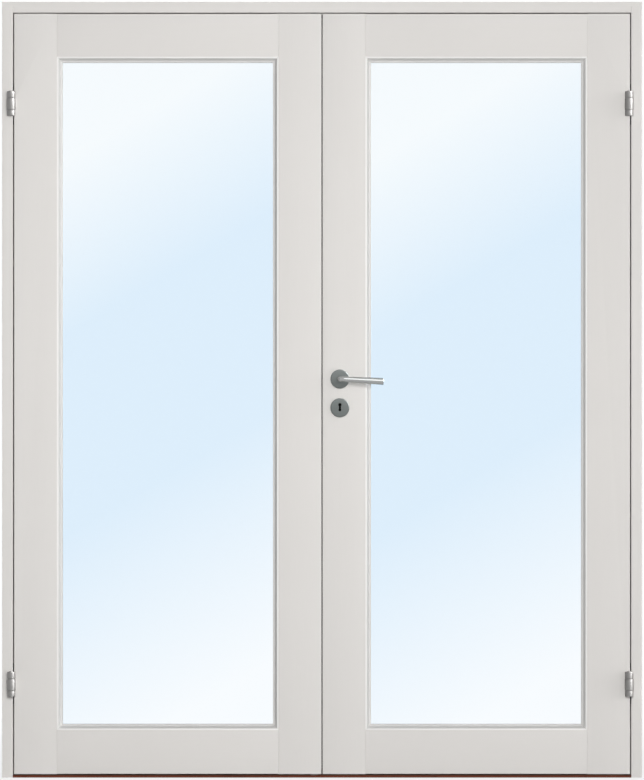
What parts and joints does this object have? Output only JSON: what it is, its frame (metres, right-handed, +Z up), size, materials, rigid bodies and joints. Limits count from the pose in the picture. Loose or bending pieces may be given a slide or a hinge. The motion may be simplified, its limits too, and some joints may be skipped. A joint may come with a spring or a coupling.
{
  "type": "french doors",
  "caption": "Pair of white glazed french doors in a rebated frame over a hardwood threshold, with barrel hinges, lever handle, key escutcheon and flush bolts.",
  "frame": {"origin": "middle of the threshold's underside, half way through the frame's depth", "axes": "+Z up, +Y from the hinge side (front) to the rear, +X to the right seen from the front"},
  "size_m": [1.717, 0.155, 2.0815],
  "materials": {
    "white_paint": "satin white paint on timber",
    "oiled_hardwood": "oiled reddish-brown hardwood",
    "beech": "bare beech",
    "clear_glass": "clear, faintly blue",
    "black_rubber": "matt black",
    "hinge_steel": "satin plated",
    "zinc_steel": "zinc plated",
    "satin_steel": "satin grey steel",
    "lever_steel": "satin steel"
  },
  "bodies": {
    "frame": {"frame_head": "white_paint", "left_jamb": "white_paint", "right_jamb": "white_paint", "threshold": "oiled_hardwood", "head_seal": "black_rubber", "left_jamb_seal": "black_rubber", "right_jamb_seal": "black_rubber", "threshold_seal": "black_rubber", "frame_screws": "zinc_steel", "head_bolt_keeper": "zinc_steel", "threshold_bolt_keeper": "zinc_steel", "left_upper_frame_hinge": "hinge_steel", "left_lower_frame_hinge": "hinge_steel", "right_upper_frame_hinge": "hinge_steel", "right_lower_frame_hinge": "hinge_steel", "left_hinge_pins": "hinge_steel", "right_hinge_pins": "hinge_steel"},
    "left_leaf": {"left_hinge_stile": "white_paint", "left_meeting_stile": "white_paint", "left_top_rail": "white_paint", "left_bottom_rail": "white_paint", "left_dowels": "beech", "left_glass": "clear_glass", "left_glazing_rubber": "black_rubber", "left_front_beads": "white_paint", "left_rear_beads": "white_paint", "left_meeting_seal": "black_rubber", "left_upper_leaf_hinge": "hinge_steel", "left_lower_leaf_hinge": "hinge_steel", "left_screws": "zinc_steel", "strike_plate": "zinc_steel", "upper_flush_bolt_case": "zinc_steel", "lower_flush_bolt_case": "zinc_steel"},
    "right_leaf": {"right_hinge_stile": "white_paint", "right_meeting_stile": "white_paint", "right_top_rail": "white_paint", "right_bottom_rail": "white_paint", "right_dowels": "beech", "right_glass": "clear_glass", "right_glazing_rubber": "black_rubber", "right_front_beads": "white_paint", "right_rear_beads": "white_paint", "right_meeting_seal": "black_rubber", "right_upper_leaf_hinge": "hinge_steel", "right_lower_leaf_hinge": "hinge_steel", "right_screws": "zinc_steel", "lock_case": "zinc_steel", "lock_forend": "zinc_steel", "front_rose": "satin_steel", "rear_rose": "satin_steel", "front_escutcheon": "satin_steel", "rear_escutcheon": "satin_steel"},
    "handle": {"front_lever": "lever_steel", "rear_lever": "lever_steel", "lever_spindle": "zinc_steel", "lock_follower": "zinc_steel"},
    "latch": {"latch_bolt": "zinc_steel"},
    "deadbolt": {"dead_bolt": "zinc_steel"},
    "upper_bolt": {"upper_flush_bolt": "zinc_steel"},
    "lower_bolt": {"lower_flush_bolt": "zinc_steel"}
  },
  "joints": [
    {"name": "left_leaf_swing", "type": "hinge", "parent": "frame", "child": "left_leaf", "pos_m": [-0.833, -0.0585, 1], "axis": [0, 0, -1], "range_deg": [0, 170]},
    {"name": "right_leaf_swing", "type": "hinge", "parent": "frame", "child": "right_leaf", "pos_m": [0.823, -0.0585, 1], "axis": [0, 0, 1], "range_deg": [0, 170]},
    {"name": "lever_turn", "type": "hinge", "parent": "right_leaf", "child": "handle", "pos_m": [0.048, -0.026, 1.0695], "axis": [0, 1, 0], "range_deg": [0, 40], "stiffness_Nm_per_rad": 1.5, "springref_deg": -28.65},
    {"name": "latch_slide", "type": "slide", "parent": "right_leaf", "child": "latch", "axis": [-1, 0, 0], "range_m": [0, 0.0095], "stiffness_N_per_m": 100, "springref_m": -0.01},
    {"name": "dead_bolt_slide", "type": "slide", "parent": "right_leaf", "child": "deadbolt", "axis": [-1, 0, 0], "range_m": [0, 0.014]},
    {"name": "upper_bolt_slide", "type": "slide", "parent": "left_leaf", "child": "upper_bolt", "axis": [0, 0, 1], "range_m": [0, 0.018]},
    {"name": "lower_bolt_slide", "type": "slide", "parent": "left_leaf", "child": "lower_bolt", "axis": [0, 0, -1], "range_m": [0, 0.0085]}
  ]
}
